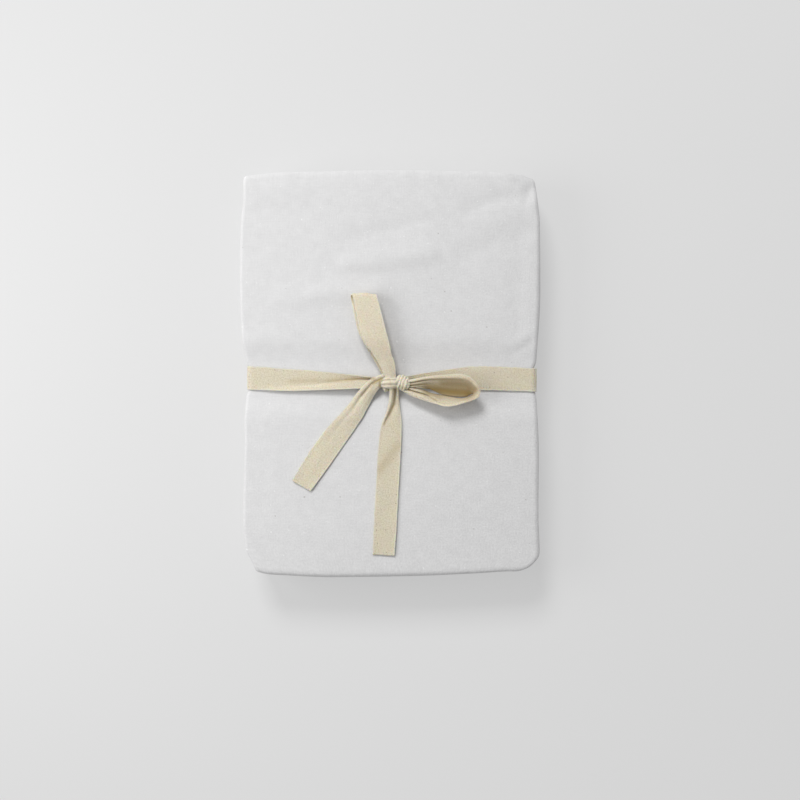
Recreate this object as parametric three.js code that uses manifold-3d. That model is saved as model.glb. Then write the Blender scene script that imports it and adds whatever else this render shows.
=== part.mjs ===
// A crib mattress protector, folded into a flat bundle and tied round the waist with a cotton tape.
// The bundle lies on its back: X runs across it, Y up its face, and Z out of the face.
// The origin is under the middle of the bundle, on the surface that it lies on. Millimetres.
import * as THREE from 'three';
import { mergeVertices } from 'three/addons/utils/BufferGeometryUtils.js';
import Module from 'manifold-3d';

const wasm = await Module();
wasm.setup();

// The folded bundle, as it lies.
const BUNDLE_WIDTH = 239.6;
const BUNDLE_LENGTH = 323.6;
const PLY = 2.7;             // one thickness of the soft cloth
const PLY_PITCH = 3.8;       // from one ply to the next
const PLIES_IN_BAND = 3;     // the cloth is folded in thirds across its width
const BANDS = 4;             // and in quarters along its length

// The cotton tape.
const TAPE_THICKNESS = 1.0;
const TAPE_CLEARANCE = 0.5;  // between the tape and the cloth that it is tied round
const TAPE_FLOOR_GAP = 0.1;  // the tape lies in a shallow dent of the bundle's back

// Worked out from the above.
const HALF_WIDTH = BUNDLE_WIDTH / 2;
const HALF_LENGTH = BUNDLE_LENGTH / 2;
const BAND_HEIGHT = (PLIES_IN_BAND - 1) * PLY_PITCH + PLY;
const BAND_PITCH = PLIES_IN_BAND * PLY_PITCH;
const STACK_HEIGHT = (BANDS - 1) * BAND_PITCH + BAND_HEIGHT;
const SMALL_TURN = BAND_PITCH / 2;
const LARGE_TURN = (BANDS - 1) * BAND_PITCH / 2;

// How the bundle departs from a neat stack.
const CROWN = 0.05;           // share of the height that the middle stands up
const WAIST_SQUEEZE = 0.045;  // share of the height that the tape presses out
const SOFT_CORNER = 0.16;     // share of the height that the upper right corner sinks
const CORNER_REACH = 34;      // how far that corner's softness runs in
const WAIST_CORNER_PRESS = 3; // how far the tape pulls in the bundle's long edges
const FOLD_SHIFT = 0.9;       // how far the folds lie out of line with each other
const FOLD_SHIFT_TURN = 7.6;  // radians of that shift's swing, from the back to the face
const FREE_END_PEEK = 1.0;    // how far the two free ends stand past the top fold
const FLAP_SHORTFALL = 1.0;   // how far a flap's edge stays short of the fold it meets
const PRESSED_FOLD = 5;       // how square the folds are pressed: 2 is round
const WAIST_Y = -4;
const WAIST_FLAT = 12;        // half the height of the strip that the tape holds flat
const WAIST_SLOPE = 22;       // the run in which the cloth rises beside that strip

// The outline of the face: how far each side stands out, from the bottom to the top.
const SIDES = [
  { y: -162, left: 111.5, right: 113.0 },
  { y: -151, left: 114.6, right: 117.6 },
  { y: -140, left: 116.6, right: 118.8 },
  { y: -115, left: 117.7, right: 118.8 },
  { y: -60, left: 116.6, right: 118.9 },
  { y: -32, left: 116.4, right: 117.8 },
  { y: -22, left: 115.6, right: 117.2 },
  { y: -16, left: 112.8, right: 115.0 },
  { y: 8, left: 112.8, right: 115.0 },
  { y: 15, left: 116.6, right: 117.8 },
  { y: 27, left: 118.6, right: 119.0 },
  { y: 60, left: 120.2, right: 119.8 },
  { y: 120, left: 119.7, right: 119.8 },
  { y: 139, left: 117.8, right: 118.0 },
  { y: 153, left: 117.8, right: 116.6 },
  { y: 162, left: 116.5, right: 113.5 },
];

// The outline of the face: where its top and bottom edges lie, from the left to the right.
const ENDS = [
  { x: -120, top: 156.5, bottom: -154.0 },
  { x: -110, top: 158.8, bottom: -158.6 },
  { x: -90, top: 160.6, bottom: -160.0 },
  { x: -50, top: 161.6, bottom: -161.0 },
  { x: 0, top: 161.8, bottom: -161.8 },
  { x: 72, top: 161.6, bottom: -161.0 },
  { x: 98, top: 160.4, bottom: -159.4 },
  { x: 110, top: 158.0, bottom: -157.6 },
  { x: 120, top: 153.5, bottom: -153.5 },
];

// Stops along each flat run of the folded cloth, closer together beside the tape.
const RUN_STOPS = [-104, -68, -38, -26, -16, -4, 8, 18, 30, 56, 88, 120];

function smooth(edge0, edge1, value) {
  return THREE.MathUtils.smoothstep(value, edge0, edge1);
}

// Reads one column of a table at any place along its key column, whose values rise row by row.
function readTable(rows, key, column, at) {
  const next = rows.findIndex((row) => row[key] > at);
  if (next === 0) return rows[0][column];
  if (next < 0) return rows[rows.length - 1][column];
  const low = rows[next - 1];
  const high = rows[next];
  const share = (at - low[key]) / (high[key] - low[key]);
  return THREE.MathUtils.lerp(low[column], high[column], share);
}

// 1 on the strip that the tape holds, easing to 0 above and below it.
function waist(y) {
  const away = Math.abs(y - WAIST_Y);
  return 1 - smooth(WAIST_FLAT, WAIST_FLAT + WAIST_SLOPE, away);
}

// Moves a point of the neat stack to where it lies in the soft bundle.
function settle(x, y, z) {
  const height = z / STACK_HEIGHT;
  const across = x / HALF_WIDTH;
  const along = y / HALF_LENGTH;
  const side = readTable(SIDES, 'y', x < 0 ? 'left' : 'right', y);
  const end = readTable(ENDS, 'x', y < 0 ? 'bottom' : 'top', x);
  const endPull = (end - Math.sign(y) * HALF_LENGTH) * Math.abs(along) ** 6;
  const foldShift = FOLD_SHIFT * Math.sin(FOLD_SHIFT_TURN * height) * Math.abs(across) ** 3;
  const press = WAIST_CORNER_PRESS * Math.abs(2 * height - 1) ** 3 * across ** 5;
  const corner = smooth(HALF_WIDTH - CORNER_REACH, HALF_WIDTH, x)
    * smooth(HALF_LENGTH - CORNER_REACH, HALF_LENGTH, y);
  const rise = 1 + CROWN * (1 - across ** 2) * (1 - along ** 4)
    - WAIST_SQUEEZE * waist(y) - SOFT_CORNER * corner;
  const dent = waist(y) * (TAPE_FLOOR_GAP + TAPE_THICKNESS + TAPE_CLEARANCE) * (1 - height) ** 2;
  return new THREE.Vector3(
    side * across - THREE.MathUtils.lerp(foldShift, press, waist(y)),
    y + endPull,
    z * rise + dent,
  );
}

// Height of the bundle's face at a place on it.
function faceHeight(x, y) {
  return settle(x, y, STACK_HEIGHT).z;
}

// A straight stretch of a line, with its heading at each stop.
function straight(from, to, stops) {
  const heading = Math.atan2(to.v - from.v, to.u - from.u);
  return stops.map((share) => ({
    u: THREE.MathUtils.lerp(from.u, to.u, share),
    v: THREE.MathUtils.lerp(from.v, to.v, share),
    heading,
  }));
}

// The stops inside a turn, with their headings. A negative sweep turns clockwise.
// Each one keeps the turn's centre, because a pressed fold is a round one pushed out from there.
function turn(centre, radius, fromAngle, sweep, steps) {
  const rows = [];
  for (let i = 1; i < steps; i += 1) {
    const angle = fromAngle + sweep * i / steps;
    rows.push({
      u: centre.u + radius * Math.cos(angle),
      v: centre.v + radius * Math.sin(angle),
      heading: angle + Math.sign(sweep) * Math.PI / 2,
      centre,
    });
  }
  return rows;
}

function evenStops(steps) {
  return Array.from({ length: steps + 1 }, (_, i) => i / steps);
}

// Across the bundle: the middle third lies outermost, the left flap is folded behind it,
// and the right flap is folded over the left one. u runs across and v out from the left flap.
const FLAP_STEPS = 3;
const FACE_STEPS = 6;
const LEFT_FOLD_STEPS = 4;
const RIGHT_FOLD_STEPS = 6;
const UP = Math.PI / 2;
const DOWN = 3 * Math.PI / 2;

function plyLine() {
  const leftFold = (PLY_PITCH + PLY) / 2 - HALF_WIDTH;
  const rightFold = HALF_WIDTH - PLY_PITCH - PLY / 2;
  const radius = PLY_PITCH / 2;
  const level = (v, from, to, steps) => straight({ u: from, v }, { u: to, v }, evenStops(steps));
  return [
    ...level(0, rightFold - FLAP_SHORTFALL, leftFold, FLAP_STEPS),
    ...turn({ u: leftFold, v: radius }, radius, DOWN, -Math.PI, LEFT_FOLD_STEPS),
    ...level(PLY_PITCH, leftFold, rightFold, FACE_STEPS),
    ...turn({ u: rightFold, v: 0 }, PLY_PITCH, UP, -Math.PI, RIGHT_FOLD_STEPS),
    ...level(-PLY_PITCH, rightFold, leftFold + FLAP_SHORTFALL, FLAP_STEPS),
  ];
}

// The plies' outline: down one face of the cloth and back along the other.
function plyOutline() {
  const line = plyLine();
  const offset = (row, side) => new THREE.Vector2(
    row.u - side * Math.sin(row.heading) * PLY / 2,
    row.v + side * Math.cos(row.heading) * PLY / 2,
  );
  return [
    ...line.map((row) => offset(row, 1)),
    ...line.map((row) => offset(row, -1)).reverse(),
  ];
}

// Up and down the bundle: the strip of three plies is folded in half, and in half again, so
// four bands lie on each other. u is Y and v is Z. The strip starts at one free end, on the
// bundle's back, and ends at the other, on the band above it.
const OUTER_FOLD_STEPS = 12;
const TOP_FOLD_STEPS = 8;
const INNER_FOLD_STEPS = 8;

function foldLine() {
  const middleOf = (_, band) => BAND_HEIGHT / 2 + band * BAND_PITCH;
  const [back, second, third, face] = Array.from({ length: BANDS }, middleOf);
  const bottom = -HALF_LENGTH + LARGE_TURN + BAND_HEIGHT / 2;
  const top = HALF_LENGTH - FREE_END_PEEK - SMALL_TURN - BAND_HEIGHT / 2;
  const stops = (end) => [bottom, ...RUN_STOPS, end];
  const upwards = (v, end) => stops(end).map((u) => ({ u, v, heading: 0 }));
  const downwards = (v, end) => stops(end).reverse().map((u) => ({ u, v, heading: Math.PI }));
  const foot = { u: bottom, v: (second + third) / 2 };
  const head = { u: top, v: (third + face) / 2 };
  return [
    ...downwards(back, HALF_LENGTH),
    ...turn(foot, LARGE_TURN, DOWN, -Math.PI, OUTER_FOLD_STEPS),
    ...upwards(face, top),
    ...turn(head, SMALL_TURN, UP, -Math.PI, TOP_FOLD_STEPS),
    ...downwards(third, top),
    ...turn(foot, SMALL_TURN, UP, Math.PI, INNER_FOLD_STEPS),
    ...upwards(second, HALF_LENGTH - FREE_END_PEEK / 2),
  ];
}

// Triangles that close the end of a strip: across it, between its two faces.
function stripCaps(across) {
  const last = 2 * across + 1;
  return Array.from({ length: across }, (_, i) => [
    [i, i + 1, last - i],
    [i + 1, last - i - 1, last - i],
  ]).flat();
}

// The skin between one ring of points and the next.
function skinBetween(count, ring, nextRing) {
  return Array.from({ length: count }, (_, j) => {
    const k = (j + 1) % count;
    const [a, b] = [ring * count + j, ring * count + k];
    const [c, d] = [nextRing * count + j, nextRing * count + k];
    return [a, c, b, b, c, d];
  }).flat();
}

// Joins rings of points into a closed skin, with a cap at both ends.
function skinRings(rings, capTriangles) {
  const count = rings[0].length;
  const lastRing = rings.length - 1;
  const index = rings.slice(1).flatMap((_, i) => skinBetween(count, i, i + 1));
  capTriangles.forEach(([a, b, c]) => {
    const [d, e, f] = [a, b, c].map((corner) => lastRing * count + corner);
    index.push(a, b, c, f, e, d);
  });
  return outwards(rings, index);
}

// Joins rings of points into a closed loop.
function skinLoop(rings) {
  const index = rings.flatMap((ring, i) => skinBetween(ring.length, i, (i + 1) % rings.length));
  return outwards(rings, index);
}

// A geometry from rings of points and triangles, turned right side out.
function outwards(rings, index) {
  const positions = rings.flat().flatMap((point) => point.toArray());
  const corner = (k) => new THREE.Vector3().fromArray(positions, 3 * index[k]);
  let volume = 0;
  for (let k = 0; k < index.length; k += 3) {
    volume += corner(k).dot(corner(k + 1).cross(corner(k + 2)));
  }
  if (volume < 0) index.reverse();
  const geometry = new THREE.BufferGeometry();
  geometry.setAttribute('position', new THREE.Float32BufferAttribute(positions, 3));
  geometry.setIndex(index);
  return geometry;
}

// How many times further out than a round fold a pressed one reaches, on a turn's heading.
function pressed(heading) {
  const across = Math.abs(Math.cos(heading)) ** PRESSED_FOLD;
  const along = Math.abs(Math.sin(heading)) ** PRESSED_FOLD;
  return (across + along) ** (-1 / PRESSED_FOLD);
}

// Where a point of the plies' outline lies on one row of the fold line.
function folded(point, row) {
  const place = new THREE.Vector2(
    row.u - point.y * Math.sin(row.heading),
    row.v + point.y * Math.cos(row.heading),
  );
  if (row.centre) {
    const middle = new THREE.Vector2(row.centre.u, row.centre.v);
    place.sub(middle).multiplyScalar(pressed(row.heading)).add(middle);
  }
  return settle(point.x, place.x, place.y);
}

function foldedProtector() {
  const outline = plyOutline();
  const rings = foldLine().map((row) => outline.map((point) => folded(point, row)));
  return skinRings(rings, stripCaps(outline.length / 2 - 1));
}

// The tape where it crosses the bundle's face: its lower and upper edges, and how far it is
// lifted off the cloth on its way to the knot.
const BAND_ON_FACE = [
  { x: -118, lower: -13.4, upper: 6.2, lift: 0.5 },
  { x: -92, lower: -14.0, upper: 5.2, lift: 0.7 },
  { x: -58, lower: -13.8, upper: 2.2, lift: 1.9 },
  { x: -32, lower: -12.6, upper: -1.0, lift: 2.9 },
  { x: -13, lower: -11.2, upper: -3.4, lift: 3.6 },
  { x: 15, lower: -11.0, upper: -2.8, lift: 3.4 },
  { x: 31, lower: -12.2, upper: 0.7, lift: 2.5 },
  { x: 50, lower: -13.2, upper: 3.2, lift: 1.6 },
  { x: 68, lower: -13.6, upper: 6.0, lift: 1.0 },
  { x: 84, lower: -13.9, upper: 6.2, lift: 0.7 },
  { x: 118, lower: -14.6, upper: 4.0, lift: 0.5 },
];

// The free straps. Each row is one place along the strap: edge a and edge b, with x and y on
// the bundle's face and the lift above the cloth.
const LEFT_TAIL = [
  { ax: -7.0, ay: -1.6, al: 7.2, bx: -6.6, by: -7.4, bl: 5.0 },
  { ax: -15.4, ay: -4.2, al: 6.4, bx: -9.6, by: -13.8, bl: 4.0 },
  { ax: -25.8, ay: -14.6, al: 4.4, bx: -13.8, by: -21.8, bl: 3.0 },
  { ax: -35.4, ay: -27.4, al: 2.8, bx: -21.4, by: -36.2, bl: 1.8 },
  { ax: -51.4, ay: -44.2, al: 1.5, bx: -35.2, by: -54.6, bl: 1.2 },
  { ax: -65.8, ay: -64.2, al: 1.1, bx: -48.8, by: -74.0, bl: 1.1 },
  { ax: -77.8, ay: -84.2, al: 1.8, bx: -63.2, by: -93.2, bl: 1.6 },
];
const DOWN_TAIL = [
  { ax: -1.0, ay: -11.6, al: 5.8, bx: 6.2, by: -11.6, bl: 5.6 },
  { ax: -2.4, ay: -21.0, al: 4.4, bx: 7.4, by: -21.0, bl: 3.0 },
  { ax: -5.8, ay: -31.0, al: 2.8, bx: 8.8, by: -31.4, bl: 2.0 },
  { ax: -8.4, ay: -44.2, al: 1.5, bx: 10.2, by: -42.4, bl: 1.5 },
  { ax: -9.8, ay: -67.4, al: 1.1, bx: 8.8, by: -67.4, bl: 1.1 },
  { ax: -12.2, ay: -102.6, al: 1.1, bx: 6.4, by: -102.6, bl: 1.1 },
  { ax: -13.8, ay: -145.0, al: 1.6, bx: 4.4, by: -145.8, bl: 1.6 },
];
const UPPER_LOOP = [
  { ax: -4.6, ay: -3.4, al: 8.0, bx: 4.8, by: -3.0, bl: 8.0 },
  { ax: -11.4, ay: 10.4, al: 9.0, bx: 2.4, by: 12.6, bl: 9.6 },
  { ax: -20.8, ay: 23.0, al: 9.6, bx: -1.6, by: 27.0, bl: 10.8 },
  { ax: -25.4, ay: 35.0, al: 10.2, bx: -4.0, by: 38.0, bl: 11.4 },
  { ax: -28.2, ay: 53.0, al: 10.6, bx: -8.8, by: 56.0, bl: 11.8 },
  { ax: -29.8, ay: 60.6, al: 9.4, bx: -10.4, by: 59.8, bl: 10.6 },
  { ax: -30.2, ay: 62.8, al: 7.2, bx: -10.8, by: 61.0, bl: 8.2 },
  { ax: -30.6, ay: 60.2, al: 5.2, bx: -11.2, by: 58.6, bl: 6.0 },
  { ax: -29.4, ay: 50.0, al: 4.4, bx: -10.0, by: 49.4, bl: 4.8 },
  { ax: -26.4, ay: 33.0, al: 3.4, bx: -6.4, by: 31.6, bl: 3.8 },
  { ax: -17.4, ay: 16.8, al: 2.8, bx: -0.6, by: 14.6, bl: 3.0 },
  { ax: -4.2, ay: -3.8, al: 3.4, bx: 4.6, by: -3.4, bl: 3.4 },
];
const RIGHT_LOOP = [
  { ax: 8.0, ay: -6.0, al: 8.4, bx: 8.0, by: -8.0, bl: 3.6 },
  { ax: 29.4, ay: -2.6, al: 13.0, bx: 23.6, by: -8.2, bl: 2.6 },
  { ax: 44.2, ay: -1.0, al: 16.0, bx: 38.0, by: -11.6, bl: 1.8 },
  { ax: 54.6, ay: -1.2, al: 17.0, bx: 52.0, by: -13.0, bl: 1.4 },
  { ax: 63.4, ay: -4.6, al: 17.4, bx: 61.6, by: -13.2, bl: 1.2 },
  { ax: 69.8, ay: -10.8, al: 17.4, bx: 65.8, by: -14.0, bl: 1.2 },
  { ax: 71.2, ay: -15.4, al: 17.2, bx: 66.8, by: -15.6, bl: 1.2 },
  { ax: 69.0, ay: -20.2, al: 16.6, bx: 65.2, by: -17.4, bl: 1.2 },
  { ax: 61.8, ay: -23.4, al: 16.0, bx: 58.2, by: -19.2, bl: 1.2 },
  { ax: 45.2, ay: -26.4, al: 15.0, bx: 40.4, by: -21.4, bl: 1.2 },
  { ax: 36.0, ay: -24.2, al: 13.0, bx: 31.6, by: -19.4, bl: 1.2 },
  { ax: 25.0, ay: -20.2, al: 10.2, bx: 21.4, by: -16.4, bl: 1.4 },
  { ax: 8.0, ay: -11.6, al: 6.6, bx: 8.0, by: -10.6, bl: 2.2 },
];

// The knot's rounded turns of tape, over the place where the straps meet.
const KNOT_LOBES = [
  { x: -0.4, y: -6.2, lift: 6.0, halfWidth: 7.4, halfLength: 4.2, halfHeight: 4.4, turned: 0.1 },
  { x: -3.2, y: -11.6, lift: 4.2, halfWidth: 3.8, halfLength: 3.0, halfHeight: 2.8, turned: -0.5 },
];
const KNOT_WRAP = { x: 9.6, y: -6.8, lift: 6.0, flattened: 0.86, turned: -0.2 };
const WRAP_SIDES = 12;
// The wrap's ridges: places along it, and its radius there.
const WRAP_RIDGES = [
  { along: -5.4, radius: 0 },
  { along: -5.4, radius: 3.6 },
  { along: -4.0, radius: 5.6 },
  { along: -2.2, radius: 5.1 },
  { along: -0.4, radius: 6.0 },
  { along: 1.6, radius: 5.3 },
  { along: 3.4, radius: 5.7 },
  { along: 5.2, radius: 3.8 },
  { along: 5.2, radius: 0 },
];

function asSolid(geometry) {
  return new wasm.Manifold(new wasm.Mesh({
    numProp: 3,
    vertProperties: new Float32Array(geometry.getAttribute('position').array),
    triVerts: new Uint32Array(geometry.getIndex().array),
  }));
}

function asGeometry(solid) {
  const mesh = solid.getMesh();
  const geometry = new THREE.BufferGeometry();
  geometry.setAttribute('position', new THREE.BufferAttribute(mesh.vertProperties, 3));
  geometry.setIndex(new THREE.BufferAttribute(mesh.triVerts, 1));
  return geometry;
}

// A strap of tape between two edges: places across it, thickened to both sides.
const STRAP_STEPS = 26;
const STRAP_ACROSS = 3;

function strapThrough(rows) {
  const edge = (x, y, lift) => new THREE.CatmullRomCurve3(rows.map((row) => new THREE.Vector3(
    row[x],
    row[y],
    faceHeight(row[x], row[y]) + row[lift],
  )));
  const edgeA = edge('ax', 'ay', 'al');
  const edgeB = edge('bx', 'by', 'bl');
  const middle = (share) => edgeA.getPoint(share).lerp(edgeB.getPoint(share), 0.5);
  const reach = 0.5 / STRAP_STEPS;
  const rings = evenStops(STRAP_STEPS).map((share) => {
    const a = edgeA.getPoint(share);
    const b = edgeB.getPoint(share);
    const onward = middle(Math.min(share + reach, 1)).sub(middle(Math.max(share - reach, 0)));
    const normal = onward.cross(b.clone().sub(a)).setLength(TAPE_THICKNESS / 2);
    const places = evenStops(STRAP_ACROSS).map((part) => a.clone().lerp(b, part));
    return [
      ...places.map((place) => place.clone().add(normal)),
      ...places.map((place) => place.clone().sub(normal)).reverse(),
    ];
  });
  return skinRings(rings, stripCaps(STRAP_ACROSS));
}

// Round the waist: places on the tape's inner face, clockwise from the left side, seen from
// the bundle's foot. Across the face they follow the table above, and across the back the
// tape's edges run straight from one side to the other.
const WAIST_CORNER = 4.5;
const WAIST_CORNER_STEPS = 4;
const BACK_STEPS = 4;

function waistRing() {
  const left = WAIST_CORNER - readTable(SIDES, 'y', 'left', WAIST_Y) - TAPE_CLEARANCE;
  const right = readTable(SIDES, 'y', 'right', WAIST_Y) + TAPE_CLEARANCE - WAIST_CORNER;
  const low = TAPE_FLOOR_GAP + TAPE_THICKNESS;
  const high = (x) => faceHeight(x, WAIST_Y) + TAPE_CLEARANCE - WAIST_CORNER;
  const start = BAND_ON_FACE[0];
  const end = BAND_ON_FACE[BAND_ON_FACE.length - 1];
  const place = (x, z, angle) => {
    const share = (x - left) / (right - left);
    const lower = THREE.MathUtils.lerp(start.lower, end.lower, share);
    const upper = THREE.MathUtils.lerp(start.upper, end.upper, share);
    return { x, z, angle, lower, upper };
  };
  const corner = (x, z, from) => evenStops(WAIST_CORNER_STEPS).map((share) => {
    const angle = from - share * Math.PI / 2;
    return place(x + WAIST_CORNER * Math.cos(angle), z + WAIST_CORNER * Math.sin(angle), angle);
  });
  const face = BAND_ON_FACE.slice(1, -1).map((row) => (
    { ...row, z: faceHeight(row.x, WAIST_Y) + row.lift, angle: UP }
  ));
  const back = evenStops(BACK_STEPS).slice(1, -1).map((share) => (
    place(THREE.MathUtils.lerp(right, left, share), low, DOWN)
  ));
  return [
    ...corner(left, high(left), Math.PI),
    ...face,
    ...corner(right, high(right), UP),
    ...corner(right, low + WAIST_CORNER, 0),
    ...back,
    ...corner(left, low + WAIST_CORNER, DOWN),
  ];
}

function waistBand() {
  const rings = waistRing().map((row) => {
    const out = new THREE.Vector3(Math.cos(row.angle), 0, Math.sin(row.angle));
    const inner = [row.lower, row.upper].map((y) => new THREE.Vector3(row.x, y, row.z));
    const outer = inner.map((point) => point.clone().addScaledVector(out, TAPE_THICKNESS));
    return [inner[0], inner[1], outer[1], outer[0]];
  });
  return skinLoop(rings);
}

// Geometry of a solid's outer form alone: shared points, with no normals and no texture places.
function bareForm(geometry) {
  geometry.deleteAttribute('normal');
  geometry.deleteAttribute('uv');
  return mergeVertices(geometry);
}

function onKnot(geometry, row) {
  geometry.rotateZ(row.turned);
  geometry.translate(row.x, row.y, faceHeight(row.x, row.y) + row.lift);
  return geometry;
}

function knotLobe(row) {
  const geometry = bareForm(new THREE.IcosahedronGeometry(1, 2));
  geometry.scale(row.halfWidth, row.halfLength, row.halfHeight);
  return onKnot(geometry, row);
}

function knotWrap(row) {
  const profile = WRAP_RIDGES.map((ridge) => new THREE.Vector2(ridge.radius, ridge.along));
  const geometry = bareForm(new THREE.LatheGeometry(profile, WRAP_SIDES));
  geometry.rotateZ(-Math.PI / 2);
  geometry.scale(1, 1, row.flattened);
  return onKnot(geometry, row);
}

function tapeTie() {
  const straps = [LEFT_TAIL, DOWN_TAIL, UPPER_LOOP, RIGHT_LOOP].map(strapThrough);
  const knot = [...KNOT_LOBES.map(knotLobe), knotWrap(KNOT_WRAP)];
  const pieces = [waistBand(), ...straps, ...knot].map(asSolid);
  return asGeometry(pieces.reduce((sum, piece) => sum.add(piece)));
}

const cloth = new THREE.MeshStandardMaterial({ color: 0xe2e2e3, roughness: 0.95, metalness: 0 });
const cotton = new THREE.MeshStandardMaterial({ color: 0xddd2b6, roughness: 0.9, metalness: 0 });

const bundle = new THREE.Group();

function addPiece(name, geometry, material) {
  const mesh = new THREE.Mesh(geometry, material);
  mesh.name = name;
  bundle.add(mesh);
}

addPiece('folded_protector', foldedProtector(), cloth);
addPiece('tape_tie', tapeTie(), cotton);

export default bundle;
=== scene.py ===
# %% [markdown]
# # A crib mattress protector, folded and tied with tape
#
# The real thing is one thick, brushed cotton sheet. It is folded in thirds across its width and in
# quarters along its length, and a cotton tape is tied round its waist in a bow. The bundle lies on
# its back. This lesson dresses the imported model, which already holds every size: first the frame,
# then the cloth, the tape, the finishes, the floor, the light and the camera, and last where each
# piece rides.

# %% Load the frame
from bisect import bisect_right
from collections import namedtuple
from math import cos, exp, pi, sin

import bmesh
import bpy
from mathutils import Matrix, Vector, noise


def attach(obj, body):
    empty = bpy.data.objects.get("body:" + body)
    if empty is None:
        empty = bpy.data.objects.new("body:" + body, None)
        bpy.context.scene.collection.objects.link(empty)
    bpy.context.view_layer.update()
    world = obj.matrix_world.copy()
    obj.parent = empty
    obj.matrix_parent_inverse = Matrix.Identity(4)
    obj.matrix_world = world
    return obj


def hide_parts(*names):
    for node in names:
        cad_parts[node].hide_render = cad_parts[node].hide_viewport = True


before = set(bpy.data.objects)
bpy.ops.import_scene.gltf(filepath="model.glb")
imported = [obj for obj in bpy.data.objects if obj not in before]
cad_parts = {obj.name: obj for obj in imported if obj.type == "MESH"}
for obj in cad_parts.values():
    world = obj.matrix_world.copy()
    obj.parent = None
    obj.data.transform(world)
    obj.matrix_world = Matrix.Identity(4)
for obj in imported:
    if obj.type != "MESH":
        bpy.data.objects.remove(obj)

# Noise vectors are seeded from the clock, so a fixed seed keeps every run the same.
NOISE_SEED = 7
noise.seed_set(NOISE_SEED)

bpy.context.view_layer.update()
print("nodes:", sorted(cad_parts))

# %% [markdown]
# ## How the bundle lies
#
# A soft bundle can be modelled in two steps. The first is a neat stack, where every ply is straight
# and every fold is half a turn. The second moves each point of that stack to where soft cloth lets
# it go: the sides swing in and out, the corners sink, the middle stands up, and the tape presses a
# waist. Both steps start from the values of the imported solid, so the dressed cloth lies where the
# solid lies. Only some edges of the face are moved by up to 3 mm, to where the photograph has them.
# All values are in millimetres, as a maker measures them, and a finished mesh is scaled to metres.

# %% Sizes of the stack
MM = 0.001

BUNDLE_WIDTH = 239.6
BUNDLE_LENGTH = 323.6
PLY = 2.7
PLY_PITCH = 3.8
PLIES_IN_BAND = 3
BANDS = 4

HALF_WIDTH = BUNDLE_WIDTH / 2
HALF_LENGTH = BUNDLE_LENGTH / 2
BAND_HEIGHT = (PLIES_IN_BAND - 1) * PLY_PITCH + PLY
BAND_PITCH = PLIES_IN_BAND * PLY_PITCH
STACK_HEIGHT = (BANDS - 1) * BAND_PITCH + BAND_HEIGHT
print("height of the neat stack, mm:", STACK_HEIGHT)

# %% How far each edge of the face stands out
# Each row has a place up the face, and how far the left and the right side stand out there.
SIDES = [
    (-162.0, 106.0, 112.0),
    (-151.0, 110.8, 119.6),
    (-140.0, 115.6, 120.2),
    (-115.0, 117.5, 119.6),
    (-60.0, 116.4, 119.4),
    (-32.0, 116.6, 118.6),
    (-17.0, 116.2, 118.0),
    (-12.5, 113.8, 116.0),
    (4.0, 113.8, 116.0),
    (9.0, 116.4, 118.0),
    (16.0, 117.4, 118.6),
    (27.0, 118.6, 119.0),
    (60.0, 119.8, 120.8),
    (120.0, 119.4, 121.0),
    (139.0, 117.6, 119.2),
    (153.0, 117.6, 117.8),
    (162.0, 117.0, 116.4),
]
LEFT_SIDE, RIGHT_SIDE = 1, 2

# Each row has a place across the face, and where the top and the bottom edge lie there.
ENDS = [
    (-120.0, 159.0, -159.0),
    (-110.0, 160.6, -161.4),
    (-90.0, 163.0, -162.2),
    (-50.0, 164.2, -163.2),
    (0.0, 164.4, -163.2),
    (72.0, 163.4, -160.8),
    (98.0, 161.8, -159.0),
    (110.0, 160.8, -158.4),
    (120.0, 158.0, -154.5),
]
TOP_END, BOTTOM_END = 1, 2


def slope_at(rows, column, index):
    """The slope of a table's smooth line at one of its rows."""
    low = rows[max(index - 1, 0)]
    high = rows[min(index + 1, len(rows) - 1)]
    return (high[column] - low[column]) / (high[0] - low[0])


def read(rows, column, at):
    """One column of a table at any place along its first column, on a smooth line."""
    if at <= rows[0][0]:
        return rows[0][column]
    if at >= rows[-1][0]:
        return rows[-1][column]
    index = bisect_right([row[0] for row in rows], at) - 1
    low, high = rows[index], rows[index + 1]
    run = high[0] - low[0]
    share = (at - low[0]) / run
    rest = 1 - share
    return (
        low[column] * (1 + 2 * share) * rest ** 2
        + high[column] * (1 + 2 * rest) * share ** 2
        + run * slope_at(rows, column, index) * share * rest ** 2
        - run * slope_at(rows, column, index + 1) * rest * share ** 2
    )


print("left side at mid height, mm:", round(read(SIDES, LEFT_SIDE, 40.0), 1))

# %% Move a point of the neat stack to where it lies
# The crown, the squeeze and the soft corner are shares of the height. A power keeps a change near
# an edge: the higher the power, the nearer it stays.
CROWN = 0.05
CROWN_ACROSS_POWER = 2
CROWN_ALONG_POWER = 4
WAIST_SQUEEZE = 0.045
SOFT_CORNER = 0.12
CORNER_REACH = 26.0
END_PULL_POWER = 6
WAIST_CORNER_PRESS = 1.2
PRESS_HEIGHT_POWER = 3
PRESS_ACROSS_POWER = 5
FOLD_SHIFT = 0.9
FOLD_SHIFT_TURN = 7.6
FOLD_SHIFT_POWER = 3
WAIST_Y = -4.0
WAIST_FLAT = 12.0
WAIST_SLOPE = 22.0
TAPE_DENT = 1.6
DENT_POWER = 2


def smooth(start, end, value):
    """0 before the start and 1 after the end, with a smooth rise between them."""
    share = min(max((value - start) / (end - start), 0.0), 1.0)
    return share * share * (3 - 2 * share)


def waist(y):
    """1 on the strip that the tape holds, easing to 0 above and below it."""
    return 1 - smooth(WAIST_FLAT, WAIST_FLAT + WAIST_SLOPE, abs(y - WAIST_Y))


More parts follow.
